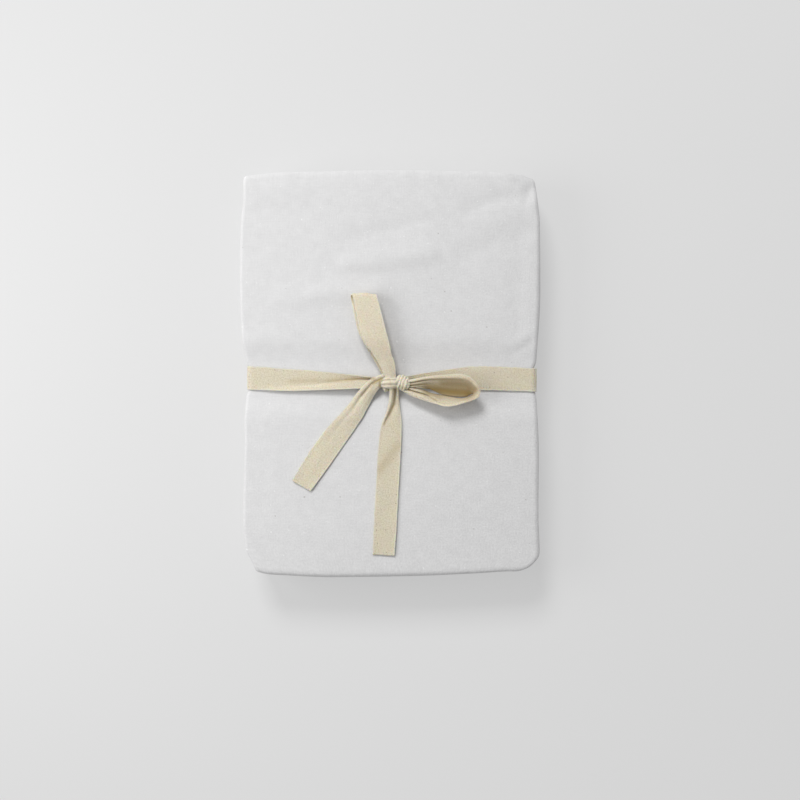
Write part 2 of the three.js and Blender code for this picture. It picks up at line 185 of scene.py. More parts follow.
def settle(x, y, z):
    """Where a point of the neat stack comes to lie."""
    height = z / STACK_HEIGHT
    across = x / HALF_WIDTH
    along = y / HALF_LENGTH
    side = read(SIDES, LEFT_SIDE if x < 0 else RIGHT_SIDE, y)
    end = read(ENDS, BOTTOM_END if y < 0 else TOP_END, x)
    end_pull = (end - (HALF_LENGTH if y > 0 else -HALF_LENGTH)) * abs(along) ** END_PULL_POWER
    held = waist(y)
    fold_shift = FOLD_SHIFT * sin(FOLD_SHIFT_TURN * height) * abs(across) ** FOLD_SHIFT_POWER
    press = WAIST_CORNER_PRESS * abs(2 * height - 1) ** PRESS_HEIGHT_POWER
    press *= across ** PRESS_ACROSS_POWER
    corner = smooth(HALF_WIDTH - CORNER_REACH, HALF_WIDTH, x)
    corner *= smooth(HALF_LENGTH - CORNER_REACH, HALF_LENGTH, y)
    rise = 1 + CROWN * (1 - across ** CROWN_ACROSS_POWER) * (1 - along ** CROWN_ALONG_POWER)
    rise -= WAIST_SQUEEZE * held + SOFT_CORNER * corner
    dent = TAPE_DENT * held * (1 - height) ** DENT_POWER
    shift = fold_shift + (press - fold_shift) * held
    return Vector((side * across - shift, y + end_pull, z * rise + dent))


print("top of the bundle, mm:", round(settle(0.0, 60.0, STACK_HEIGHT).z, 1))

# %% [markdown]
# ## The creases of the face
#
# The photograph's face is not flat. Long, shallow ridges cross its upper half, a trough runs along
# the right fold, and the cloth swells where the tape lets it go. Each could be sculpted, but a row
# of a table is easier to read and to change: a crease is a line on the face, with a width and a
# height, and its height dies away on both sides and at both ends. Noise bends the lines a little,
# because no crease in real cloth is straight.

# %% Creases
# A height below 0 is a trough.
Crease = namedtuple("Crease", "x1 y1 x2 y2 width height")
CREASES = [
    Crease(-86, 62, -16, 65, 6.0, 0.9),
    Crease(-60, 62, -3, 69, 5.5, 0.5),
    Crease(-34, 87, 30, 94, 4.6, 1.3),
    Crease(-12, 97, 30, 100, 4.5, 0.6),
    Crease(-34, 107, 36, 124, 4.0, -0.6),
    Crease(62, 130, 112, 147, 4.5, -0.9),
    Crease(60, 96, 106, 114, 7.5, -0.7),
    Crease(58, 108, 104, 128, 7.0, 0.3),
    Crease(100, 14, 114, 26, 2.6, -0.9),
    Crease(94, 20, 108, 30, 3.4, 0.5),
    Crease(-112, 24, -88, 27, 5.5, 0.45),
    Crease(-84, 30, -62, 22, 3.0, -0.35),
    Crease(-58, 26, -34, 18, 3.4, 0.4),
    Crease(101, 20, 102, 108, 5.0, -0.4),
    Crease(110, 24, 111, 104, 3.4, 0.15),
    Crease(108, 136, 117, 152, 2.2, -0.8),
    Crease(103, 146, 112, 156, 2.4, 0.6),
    Crease(34, 122, 36, 158, 5.0, 0.3),
    Crease(-100, 148, -72, 143, 4.0, 0.35),
    Crease(-104, 132, -82, 128, 4.0, -0.35),
    Crease(-112, -26, -70, -30, 7.0, 0.5),
    Crease(40, -34, 96, -30, 8.0, 0.5),
    Crease(-96, -118, -34, -132, 9.0, 0.3),
    Crease(38, -96, 104, -112, 9.0, 0.3),
    Crease(-70, -70, 2, -86, 10.0, -0.25),
]
CREASE_BEND = 2.4
CREASE_BEND_LENGTH = 26.0
CREASE_REACH = 3.5
CREASE_DEPTH_POWER = 3


def crease_lift(x, y):
    """How far the creases lift the face at a place on it."""
    bend = noise.noise_vector(Vector((x, y, 0.0)) / CREASE_BEND_LENGTH) * CREASE_BEND
    place = Vector((x + bend.x, y + bend.y))
    lift = 0.0
    for crease in CREASES:
        start = Vector((crease.x1, crease.y1))
        run = Vector((crease.x2, crease.y2)) - start
        share = (place - start).dot(run) / run.length_squared
        nearest = start + run * min(max(share, 0.0), 1.0)
        away = (place - nearest).length / crease.width
        if away < CREASE_REACH:
            lift += crease.height * exp(-away * away / 2)
    return lift * (1 - waist(y))


print("lift of the creases left of the bow, mm:", round(crease_lift(-60.0, 60.0), 2))

# %% [markdown]
# ## One sheet, folded
#
# The cloth is one sheet, so it is one mesh. It could be folded by a cloth simulation, but twelve
# plies that touch each other are slow and seldom lie where they should. A folded line is simpler.
# A grid of the flat sheet is made first. A point's column then says how far it is along the folded
# line across the bundle, and its row how far along the folded line down its length. Both lines are
# straight runs and half turns, one after the other. `walk` follows such a line for any distance, so
# the sheet stays close to its flat size.

# %% Lines of straight runs and round turns
Stretch = namedtuple("Stretch", "length turn steps")


def run(length, steps):
    """A straight run."""
    return Stretch(length, 0.0, steps)


def turn(radius, sweep, steps):
    """A round turn. A sweep below 0 is clockwise."""
    return Stretch(radius * abs(sweep), sweep, steps)


def walk(start, heading, stretches, distance):
    """The place on a line after a distance, its heading there, and the middle of its turn."""
    u, v = start
    middle = start
    for stretch in stretches:
        step = min(distance, stretch.length)
        turned = stretch.turn * step / stretch.length
        if turned:
            radius = stretch.length / stretch.turn
            middle = (u - radius * sin(heading), v + radius * cos(heading))
            u += radius * (sin(heading + turned) - sin(heading))
            v -= radius * (cos(heading + turned) - cos(heading))
        else:
            u += step * cos(heading)
            v += step * sin(heading)
        heading += turned
        distance -= step
        if distance <= 0:
            break
    return u, v, heading, middle


def stops(stretches):
    """The distance of each grid line along a line."""
    found = [0.0]
    for stretch in stretches:
        start = found[-1]
        found += [start + stretch.length * i / stretch.steps for i in range(1, stretch.steps + 1)]
    return found


# %% The folds across the bundle
# The left flap lies behind the face, and the right flap is folded over it.
FLAP_SHORTFALL = 1.0
LEFT_FOLD = (PLY_PITCH + PLY) / 2 - HALF_WIDTH
RIGHT_FOLD = HALF_WIDTH - PLY_PITCH - PLY / 2
THIRD = RIGHT_FOLD - LEFT_FOLD
ACROSS_START = (RIGHT_FOLD - FLAP_SHORTFALL, 0.0)
ACROSS = [
    run(THIRD - FLAP_SHORTFALL, 22),
    turn(PLY_PITCH / 2, -pi, 8),
    run(THIRD, 92),
    turn(PLY_PITCH, -pi, 10),
    run(THIRD - FLAP_SHORTFALL, 22),
]
across_stops = stops(ACROSS)
section = [walk(ACROSS_START, pi, ACROSS, stop) for stop in across_stops]
print("flat width, mm:", round(across_stops[-1], 1))

# %% The folds along the bundle
FREE_END_PEEK = 1.0
SMALL_TURN = BAND_PITCH / 2
LARGE_TURN = (BANDS - 1) * BAND_PITCH / 2
BOTTOM = -HALF_LENGTH + LARGE_TURN + BAND_HEIGHT / 2
TOP = HALF_LENGTH - FREE_END_PEEK - SMALL_TURN - BAND_HEIGHT / 2
ALONG_START = (HALF_LENGTH, BAND_HEIGHT / 2)
ALONG = [
    run(HALF_LENGTH - BOTTOM, 34),
    turn(LARGE_TURN, -pi, 52),
    run(TOP - BOTTOM, 112),
    turn(SMALL_TURN, -pi, 24),
    run(TOP - BOTTOM, 26),
    turn(SMALL_TURN, pi, 12),
    run(HALF_LENGTH - FREE_END_PEEK / 2 - BOTTOM, 26),
]
along_stops = stops(ALONG)
path = [walk(ALONG_START, pi, ALONG, stop) for stop in along_stops]
print("flat length, mm:", round(along_stops[-1], 1))

# %% Unevenness of soft cloth
# No two plies of a real bundle lie quite alike. The noise is read on the flat sheet, so each ply
# drifts its own way, and every drift stays smaller than the space between two plies. The tape
# takes most of the drift away where it holds the plies. The slices keep the three noises apart.
SIDE_DRIFT = 1.1
SIDE_DRIFT_POWER = 6
SIDE_SLICE = 1.7
END_DRIFT = 1.0
END_DRIFT_POWER = 8
END_SLICE = 8.3
DRIFT_LENGTH = 60.0
PLY_WAVE = 0.32
PLY_WAVE_LENGTH = 46.0
PLY_WAVE_SLICE = 4.1
HELD_STILL = 0.8


def drift(x, y, z, column, row):
    """Lets one point of the neat stack stray from its place."""
    flat_x, flat_y = across_stops[column], along_stops[row]
    side = abs(x / HALF_WIDTH) ** SIDE_DRIFT_POWER
    end = abs(y / HALF_LENGTH) ** END_DRIFT_POWER
    along_edge = Vector((flat_y / DRIFT_LENGTH, z / BAND_PITCH, SIDE_SLICE))
    along_end = Vector((flat_x / DRIFT_LENGTH, z / BAND_PITCH, END_SLICE))
    wave = Vector((flat_x / PLY_WAVE_LENGTH, flat_y / PLY_WAVE_LENGTH, PLY_WAVE_SLICE))
    free = 1 - HELD_STILL * waist(y)
    return (
        x + SIDE_DRIFT * side * free * noise.noise(along_edge),
        y + END_DRIFT * end * noise.noise(along_end),
        z + PLY_WAVE * free * noise.noise(wave),
    )


# %% Pressed folds
# A pressed fold is squarer than a round one. The power says how square: 2 would be round. The folds
# at the two ends of the face are squarest in their upper halves, where the face's edges are crisp.
PRESSED_ABOVE = 20.0
PRESSED_BELOW = 6.0
PRESSED_SIDE = 4.0


def pressed(heading, power):
    """How much further out a pressed fold reaches than a round one, on a turn's heading."""
    return (abs(cos(heading)) ** power + abs(sin(heading)) ** power) ** (-1 / power)


def folded_place(column, row):
    """Where one crossing of the flat grid lies in the bundle, in millimetres."""
    x, out, heading, middle = section[column]
    further = pressed(heading, PRESSED_SIDE)
    x = middle[0] + (x - middle[0]) * further
    out = middle[1] + (out - middle[1]) * further
    u, v, heading, middle = path[row]
    y = u - out * sin(heading)
    z = v + out * cos(heading)
    further = pressed(heading, PRESSED_ABOVE if cos(heading) > 0 else PRESSED_BELOW)
    y = middle[0] + (y - middle[0]) * further
    z = middle[1] + (z - middle[1]) * further
    place = settle(*drift(x, y, z, column, row))
    place.z += crease_lift(x, y) * max(z / STACK_HEIGHT, 0.0) ** CREASE_DEPTH_POWER
    return place


def face_height(x, y):
    """Height of the bundle's face at a place on it, in millimetres."""
    return settle(x, y, STACK_HEIGHT).z + crease_lift(x, y)


# %% Fold the sheet
def grid_index(vert, columns, rows):
    """The column and row of a vertex of a flat grid of size 1, before it is moved."""
    return round((vert.co.x + 0.5) * columns), round((vert.co.y + 0.5) * rows)


def new_object(name, bm):
    mesh = bpy.data.meshes.new(name)
    bm.to_mesh(mesh)
    bm.free()
    obj = bpy.data.objects.new(name, mesh)
    bpy.context.scene.collection.objects.link(obj)
    return obj


columns = len(across_stops) - 1
rows = len(along_stops) - 1
cloth_bm = bmesh.new()
cloth_flat = cloth_bm.loops.layers.uv.new("flat")
bmesh.ops.create_grid(cloth_bm, x_segments=columns, y_segments=rows, size=0.5)
for face in cloth_bm.faces:
    face.smooth = True
    for loop in face.loops:
        column, row = grid_index(loop.vert, columns, rows)
        loop[cloth_flat].uv = (across_stops[column] * MM, along_stops[row] * MM)
for vert in cloth_bm.verts:
    vert.co = folded_place(*grid_index(vert, columns, rows))
bmesh.ops.scale(cloth_bm, vec=(MM, MM, MM), verts=cloth_bm.verts)
cloth = new_object("folded_cloth", cloth_bm)
print("cloth grid:", columns, "by", rows)

# %% Give the sheet its thickness
EDGE_ROUND = 0.9
EDGE_STEPS = 2
thickness = cloth.modifiers.new("thickness", "SOLIDIFY")
thickness.thickness = PLY * MM
thickness.offset = 0.0
thickness.use_even_offset = True
soft_edge = cloth.modifiers.new("soft edge", "BEVEL")
soft_edge.width = EDGE_ROUND * MM
soft_edge.segments = EDGE_STEPS
soft_edge.limit_method = "ANGLE"
soft_edge.angle_limit = pi / 3

# %% [markdown]
# ## The tape
#
# The tape is one woven strip, 19 mm wide. It starts in the knot, runs left across the face, down
# the side, across the back and up to the knot again, and its two ends make the bow: two loops and
# two tails. Such a strip could be a curve with a flat bevel, but a curve can't show how the tape
# cups, pleats and turns over near the knot. Here each strap is a table of rows. A row is one place
# along the strap, and holds a few points across it: how far across the tape's own width the point
# is, where it lies on the face (two values), and how far it is lifted off the cloth. Smooth lines
# join the rows.

# %% Rows to stations
TAPE_WIDTH = 19.0
TAPE_THICKNESS = 0.8
STATION_STEP = 1.0
TAPE_COLUMNS = 26


def point(across, x, y, z):
    """One point of a strap's row. Its fourth value is its place across the tape."""
    return Vector((x, y, z, across))


def strap(*rows_given):
    """A strap's table, as rows of points."""
    return [[point(*values) for values in row] for row in rows_given]


def on_curve(before, start, end, after, share):
    """A smooth line through four points, between the middle two."""
    squared, cubed = share * share, share * share * share
    return 0.5 * (
        2 * start
        + (end - before) * share
        + (2 * before - 5 * start + 4 * end - after) * squared
        + (3 * start - before - 3 * end + after) * cubed
    )


def stations(table):
    """Fills in a strap's table with rows about one step apart, on smooth lines."""
    found = []
    last = len(table) - 1
    for index in range(last):
        near = [table[min(max(index + k, 0), last)] for k in (-1, 0, 1, 2)]
        gaps = [(b - a).xyz.length for a, b in zip(near[1], near[2])]
        steps = max(2, round(max(gaps) / STATION_STEP))
        for step in range(steps + (index == last - 1)):
            found.append([on_curve(*points, step / steps) for points in zip(*near)])
    return found


def on_face(rows_found):
    """Turns lifts above the cloth into heights."""
    return [
        [point(p.w, p.x, p.y, face_height(p.x, p.y) + p.z) for p in row] for row in rows_found
    ]


def place_across(row, across):
    """The point of a row at a place across the tape's width."""
    for low, high in zip(row, row[1:]):
        if across <= high.w:
            share = (across - low.w) / (high.w - low.w)
            return low.xyz.lerp(high.xyz, share)
    return row[-1].xyz


# %% The bow's loops and tails
LEFT_TAIL = strap(
    [(0, -5.2, -0.4, 7.0), (3, -4.9, -1.8, 8.0), (6, -4.7, -3.2, 7.0), (9, -4.6, -4.4, 7.6),
     (14, -4.2, -6.2, 6.8), (19, -3.8, -7.6, 5.0)],
    [(0, -15.4, -4.3, 7.2), (3, -14.4, -5.8, 8.0), (6, -13.4, -7.4, 6.7), (9, -12.5, -8.6, 7.6),
     (14, -11.0, -11.0, 7.2), (19, -9.8, -13.0, 5.8)],
    [(0, -25.2, -14.0, 4.6), (3, -23.4, -15.2, 5.4), (6, -21.6, -16.6, 3.2),
     (9, -19.8, -17.8, 4.6), (14, -17.2, -19.4, 3.9), (19, -14.8, -20.8, 2.2)],
    [(0, -35.2, -26.8, 2.9), (3, -33.0, -28.2, 3.3), (6, -30.9, -29.6, 2.4),
     (9, -28.8, -30.9, 2.8), (14, -25.4, -33.0, 2.3), (19, -22.2, -35.0, 1.3)],
    [(0, -51.2, -44.2, 1.6), (3, -48.7, -45.8, 1.7), (6, -46.2, -47.5, 1.3),
     (9, -43.6, -49.2, 1.5), (14, -39.4, -52.0, 1.2), (19, -35.2, -54.6, 0.9)],
    [(0, -65.8, -64.2, 1.1), (3, -63.2, -65.8, 0.9), (6, -60.5, -67.4, 1.0),
     (9, -57.8, -69.0, 1.2), (14, -53.2, -71.6, 1.0), (19, -48.8, -74.0, 0.9)],
    [(0, -78.4, -85.0, 1.9), (3, -76.0, -86.5, 1.5), (6, -73.7, -88.0, 1.2),
     (9, -71.4, -89.4, 1.3), (14, -67.2, -91.8, 1.2), (19, -63.4, -93.8, 1.5)],
)
DOWN_TAIL = strap(
    [(0, -1.0, -8.8, 5.0), (3, 0.6, -8.8, 7.4), (6, 2.2, -8.8, 6.0), (9, 3.6, -8.8, 3.6),
     (12, 5.0, -8.8, 4.0), (15.5, 6.2, -8.8, 6.4), (19, 7.0, -8.8, 4.6)],
    [(0, -0.6, -17.4, 3.6), (3, 1.0, -17.4, 6.0), (6, 2.6, -17.4, 4.4), (9, 3.6, -17.4, 1.6),
     (12, 4.6, -17.4, 2.0), (15.5, 5.8, -17.4, 3.8), (19, 6.8, -17.4, 2.6)],
    [(0, -1.6, -24.5, 2.6), (2.5, -0.2, -24.5, 4.6), (5, 1.2, -24.5, 3.0), (8, 2.6, -24.6, 0.8),
     (11, 4.0, -24.7, 1.4), (15, 5.8, -24.8, 2.6), (19, 7.6, -24.8, 1.4)],
    [(0, -3.4, -32.2, 2.0), (2, -2.6, -32.3, 3.2), (4, -1.4, -32.5, 0.9), (7, 0.4, -32.7, 1.0),
     (11, 3.0, -32.9, 1.6), (15, 6.0, -33.0, 1.6), (19, 8.8, -33.0, 1.0)],
    [(0, -6.6, -39.6, 1.2), (1.8, -5.7, -39.6, 1.7), (3.6, -4.6, -39.7, 0.8),
     (7, -1.8, -39.8, 0.9), (11, 1.6, -39.8, 1.2), (15, 5.4, -39.8, 1.2), (19, 9.4, -39.8, 0.9)],
    [(0, -8.4, -48.0, 1.1), (3, -5.9, -48.0, 0.9), (5, -4.0, -48.0, 0.9), (8, -1.4, -48.0, 1.0),
     (11, 1.4, -48.0, 1.1), (15, 5.2, -48.0, 1.2), (19, 9.3, -48.0, 1.0)],
    [(0, -10.1, -64.8, 1.0), (3, -7.5, -64.8, 1.0), (5, -5.6, -64.8, 1.1), (8, -2.9, -64.8, 1.2),
     (11, 0.2, -64.8, 1.1), (15, 4.2, -64.8, 1.0), (19, 8.6, -64.8, 1.1)],
    [(0, -11.2, -84.6, 1.2), (3, -8.4, -84.6, 1.0), (5, -6.5, -84.6, 1.0), (8, -3.7, -84.7, 0.9),
     (11, -0.8, -84.8, 1.0), (15, 3.2, -84.8, 1.2), (19, 7.4, -84.8, 1.5)],
    [(0, -12.4, -104.0, 1.1), (3, -9.4, -104.0, 1.2), (5, -7.5, -104.0, 1.2),
     (8, -4.7, -104.0, 1.1), (11, -1.8, -104.0, 1.0), (15, 2.2, -104.0, 1.0),
     (19, 6.4, -104.0, 1.2)],
    [(0, -13.4, -124.0, 1.0), (3, -10.6, -124.0, 0.9), (5, -8.7, -124.0, 0.9),
     (8, -5.9, -124.0, 1.0), (11, -3.0, -124.0, 1.1), (15, 1.0, -124.0, 1.2),
     (19, 5.2, -124.0, 1.3)],
    [(0, -14.3, -144.2, 1.6), (3, -11.6, -144.3, 1.3), (5, -9.7, -144.4, 1.2),
     (8, -6.9, -144.7, 1.1), (11, -4.0, -144.9, 1.1), (15, -0.2, -145.2, 1.2),
     (19, 3.8, -145.4, 1.6)],
)
UPPER_LOOP = strap(
    [(0, -1.4, -4.2, 5.0), (4, -3.8, -3.6, 7.2), (11, 0.6, -3.6, 8.6), (19, 4.6, -3.4, 7.4)],
    [(0, -4.6, 6.0, 6.4), (4, -8.4, 6.2, 8.6), (11, -2.4, 6.2, 10.4), (19, 4.2, 6.0, 9.6)],
    [(0, -12.0, 15.8, 8.8), (3, -14.2, 16.0, 10.2), (11, -6.4, 15.8, 11.8),
     (19, 1.4, 15.6, 11.4)],
    [(0, -18.4, 22.4, 10.4), (2, -18.8, 22.0, 11.0), (11, -9.6, 22.0, 12.4),
     (19, 0.1, 21.6, 12.2)],
    [(0, -22.8, 30.0, 11.2), (2, -21.6, 30.0, 11.6), (11, -12.2, 29.8, 12.6),
     (19, -2.0, 29.6, 12.4)],
    [(0, -26.7, 47.6, 10.6), (2, -25.0, 47.6, 11.0), (11, -16.0, 47.6, 11.8),
     (19, -6.5, 47.4, 12.0)],
    [(0, -28.6, 57.6, 9.2), (2, -27.0, 57.6, 9.6), (11, -18.6, 58.0, 10.2),
     (19, -9.2, 57.8, 10.6)],
    [(0, -30.0, 61.4, 8.0), (2, -28.2, 61.8, 8.4), (11, -20.2, 62.4, 8.8),
     (19, -10.2, 61.2, 9.4)],
    [(0, -30.8, 62.6, 6.4), (2, -29.0, 63.0, 6.6), (11, -20.8, 63.6, 6.8),
     (19, -10.8, 62.2, 7.6)],
    [(0, -31.4, 60.4, 4.2), (2, -29.6, 60.8, 4.2), (11, -21.0, 61.4, 4.8),
     (19, -11.4, 60.2, 6.0)],
    [(0, -30.2, 55.6, 6.4), (2, -28.4, 55.6, 6.2), (11, -20.4, 55.6, 4.8),
     (19, -11.0, 55.4, 5.4)],
    [(0, -29.2, 50.0, 8.6), (2, -27.2, 50.0, 8.2), (11, -19.4, 49.8, 5.6),
     (19, -10.4, 49.4, 5.6)],
    [(0, -25.4, 33.4, 9.2), (2, -23.6, 33.2, 8.8), (11, -16.0, 32.4, 5.6), (19, -7.0, 31.6, 4.6)],
    [(0, -16.8, 17.0, 6.8), (2, -15.2, 16.6, 6.6), (11, -8.6, 15.4, 4.6), (19, -0.8, 14.4, 3.8)],
    [(0, -4.4, -3.8, 3.6), (2, -3.4, -3.8, 3.6), (11, 0.6, -3.6, 3.8), (19, 4.8, -3.4, 3.4)],
)
RIGHT_LOOP = strap(
    [(0, 7.0, -4.6, 7.8), (3.4, 7.2, -5.6, 9.0), (6, 7.2, -6.5, 6.8), (9, 7.2, -7.3, 8.2),
     (12.5, 7.2, -8.0, 6.2), (16, 7.2, -8.6, 7.0), (19, 7.2, -9.2, 4.2)],
    [(0, 15.6, -5.0, 9.8), (3.4, 15.7, -6.4, 10.8), (6, 15.8, -7.3, 6.8), (9, 15.8, -8.3, 9.4),
     (12.5, 15.9, -9.3, 6.2), (16, 16.0, -10.2, 8.0), (19, 16.0, -11.0, 4.6)],
    [(0, 29.2, -2.5, 13.0), (3.4, 29.2, -4.0, 13.6), (6, 29.1, -4.9, 10.0), (9, 28.9, -6.4, 11.0),
     (12.5, 28.7, -8.1, 7.2), (16, 28.5, -9.7, 7.0), (19, 28.2, -10.8, 4.0)],
    [(0, 43.2, -1.2, 15.2), (3.4, 43.0, -3.6, 15.8), (6, 42.8, -4.6, 13.4), (9, 42.5, -6.4, 11.2),
     (12.5, 42.1, -8.4, 8.0), (16, 41.8, -12.0, 4.0), (19, 41.4, -16.8, 1.6)],
    [(0, 55.2, -0.6, 16.2), (3.4, 54.8, -3.8, 16.7), (6, 54.6, -4.9, 14.2), (9, 54.4, -6.6, 11.8),
     (12.5, 54.1, -8.6, 8.4), (16, 53.9, -13.0, 4.0), (19, 53.6, -18.6, 1.4)],
    [(0, 62.4, -2.7, 16.4), (3.4, 61.2, -5.2, 16.9), (6, 60.9, -6.2, 14.4), (9, 60.7, -7.7, 11.8),
     (12.5, 60.5, -9.5, 8.4), (16, 60.4, -13.2, 4.2), (19, 60.3, -18.4, 1.6)],
    [(0, 68.2, -8.0, 16.4), (3.4, 66.4, -9.4, 16.8), (6, 66.1, -10.0, 14.4),
     (9, 65.7, -10.8, 11.6), (12.5, 65.2, -11.9, 8.2), (16, 64.5, -14.0, 4.4),
     (19, 62.8, -17.2, 1.8)],
    [(0, 71.0, -13.6, 16.2), (3.2, 69.2, -13.8, 16.6), (6, 68.9, -14.0, 14.2),
     (9, 68.3, -14.3, 11.4), (12.5, 67.5, -14.8, 8.0), (16, 66.8, -15.3, 4.8),
     (19, 66.0, -15.8, 2.1)],
    [(0, 69.4, -19.0, 15.8), (3, 68.0, -18.4, 16.0), (6, 67.6, -18.2, 13.8),
     (9, 67.0, -18.0, 11.2), (12.5, 66.3, -17.8, 7.8), (16, 65.5, -17.7, 4.6),
     (19, 64.6, -17.6, 2.0)],
    [(0, 60.4, -22.8, 15.2), (2.6, 60.0, -21.8, 15.4), (6, 59.2, -21.6, 13.0),
     (9, 58.5, -21.3, 10.6), (12.5, 57.9, -20.9, 7.4), (16, 57.2, -20.4, 4.4),
     (19, 56.6, -19.8, 1.8)],
    [(0, 45.4, -26.3, 14.0), (2.6, 45.2, -25.0, 13.8), (6, 44.8, -24.0, 12.0),
     (9, 44.2, -22.6, 9.8), (12.5, 43.7, -20.6, 6.8), (16, 43.2, -19.0, 4.2),
     (19, 42.8, -17.6, 1.8)],
    [(0, 36.4, -24.3, 12.2), (2.6, 36.2, -22.9, 12.4), (6, 35.9, -21.3, 9.2),
     (9, 35.5, -19.8, 9.6), (12.5, 35.1, -18.2, 7.6), (16, 34.6, -16.9, 5.0),
     (19, 34.0, -16.0, 2.4)],
    [(0, 27.4, -21.6, 10.2), (3, 27.4, -19.8, 11.0), (6, 27.3, -17.8, 9.4), (9, 27.2, -16.5, 6.6),
     (12.5, 27.0, -15.2, 9.2), (16, 26.7, -14.2, 6.6), (19, 26.4, -13.4, 3.4)],
    [(0, 17.4, -18.0, 8.2), (3, 17.4, -16.4, 9.2), (6, 17.4, -14.9, 7.8), (9, 17.4, -13.6, 5.4),
     (12.5, 17.4, -12.5, 8.2), (16, 17.3, -11.6, 6.2), (19, 17.2, -11.0, 3.8)],
    [(0, 7.6, -12.6, 6.0), (3, 7.6, -11.8, 7.2), (6, 7.6, -11.2, 6.2), (9, 7.6, -10.6, 5.0),
     (12.5, 7.6, -10.2, 6.8), (16, 7.6, -9.8, 5.4), (19, 7.6, -9.4, 4.0)],
)
BOW = [LEFT_TAIL, DOWN_TAIL, UPPER_LOOP, RIGHT_LOOP]
print("rows in the bow's tables:", [len(table) for table in BOW])

# %% The tape round the waist
# Left and right of the knot, from the knot outwards. On the left the tape's lower edge turns up.
LEFT_BAND = strap(
    [(0, 3.0, -10.2, 3.4), (8, 3.0, -6.6, 3.2), (13, 3.0, -5.6, 1.5), (19, 3.0, -4.2, 4.6)],
    [(0, -10.0, -11.4, 3.8), (8, -10.0, -6.2, 3.6), (13, -10.0, -4.8, 1.2),
     (19, -10.0, -3.4, 4.8)],
    [(0, -22.0, -12.1, 4.8), (7, -22.0, -5.9, 4.4), (12, -22.0, -4.3, 1.0),
     (19, -22.0, -1.9, 4.8)],
    [(0, -34.0, -12.5, 5.2), (6, -34.0, -7.2, 4.6), (10, -34.0, -5.2, 0.9),
     (19, -34.0, -0.4, 3.0)],
    [(0, -48.0, -13.0, 4.4), (4.5, -48.0, -9.0, 3.8), (8, -48.0, -6.8, 0.9),
     (19, -48.0, 1.2, 1.8)],
    [(0, -64.0, -13.5, 3.4), (3.5, -64.0, -10.8, 2.6), (6, -64.0, -9.2, 0.9),
     (19, -64.0, 2.8, 1.1)],
    [(0, -82.0, -13.9, 2.8), (2.5, -82.0, -12.0, 2.0), (5, -82.0, -9.8, 0.9),
     (19, -82.0, 4.0, 0.9)],
    [(0, -98.0, -13.4, 1.8), (2.5, -98.0, -11.2, 1.2), (5, -98.0, -8.8, 0.9),
     (19, -98.0, 5.4, 0.9)],
    [(0, -110.4, -13.0, 0.9), (2.5, -110.4, -10.6, 0.9), (5, -110.4, -8.2, 0.9),
     (19, -110.4, 6.2, 0.9)],
)
RIGHT_BAND = strap(
    [(0, -1.0, -9.6, 3.0), (9, -1.0, -7.0, 2.6), (19, -1.0, -4.2, 4.4)],
    [(0, 12.0, -10.8, 2.4), (9, 12.0, -6.6, 2.4), (19, 12.0, -2.2, 4.2)],
    [(0, 24.0, -11.8, 1.7), (9, 24.0, -6.0, 1.8), (19, 24.0, 0.0, 3.4)],
    [(0, 36.0, -12.7, 1.2), (9, 36.0, -5.4, 1.3), (19, 36.0, 2.0, 2.6)],
    [(0, 48.0, -13.2, 1.0), (9, 48.0, -4.6, 1.1), (19, 48.0, 3.8, 1.8)],
    [(0, 61.0, -13.4, 0.9), (9, 61.0, -3.8, 1.0), (19, 61.0, 5.8, 1.2)],
    [(0, 76.0, -13.4, 0.9), (9, 76.0, -3.8, 0.9), (19, 76.0, 6.2, 0.9)],
    [(0, 94.0, -13.8, 0.9), (9, 94.0, -4.2, 0.9), (19, 94.0, 5.6, 0.9)],
    [(0, 113.0, -14.5, 0.9), (9, 113.0, -5.0, 0.9), (19, 113.0, 4.6, 0.9)],
)
TAPE_OFF_FLOOR = 0.6
ROUND_CORNER = 4.5
QUARTER = pi / 2
CORNER_STEPS = 6
DROP_STEPS = 18
BACK_STEPS = 60


def tape_round_back():
    """Stations from the left end of the face, round the back, to the right end of the face."""
    left = on_face([LEFT_BAND[-1]])[0]
    right = on_face([RIGHT_BAND[-1]])[0]
    left_out = left[0].x - ROUND_CORNER
    right_out = right[0].x + ROUND_CORNER
    left_drop = left[0].z - TAPE_OFF_FLOOR - 2 * ROUND_CORNER
    right_drop = right[0].z - TAPE_OFF_FLOOR - 2 * ROUND_CORNER
    line = [
        turn(ROUND_CORNER, QUARTER, CORNER_STEPS),
        run(left_drop, DROP_STEPS),
        turn(ROUND_CORNER, QUARTER, CORNER_STEPS),
        run(right_out - left_out - 2 * ROUND_CORNER, BACK_STEPS),
        turn(ROUND_CORNER, QUARTER, CORNER_STEPS),
        run(right_drop, DROP_STEPS),
        turn(ROUND_CORNER, QUARTER, CORNER_STEPS),
    ]
    found = []
    for stop in stops(line)[1:-1]:
        x, z = walk((left[0].x, left[0].z), pi, line, stop)[:2]
        share = (x - left_out) / (right_out - left_out)
        lower = left[0].y + (right[0].y - left[0].y) * share
        upper = left[-1].y + (right[-1].y - left[-1].y) * share
        found.append([point(0, x, lower, z), point(TAPE_WIDTH, x, upper, z)])
    return found


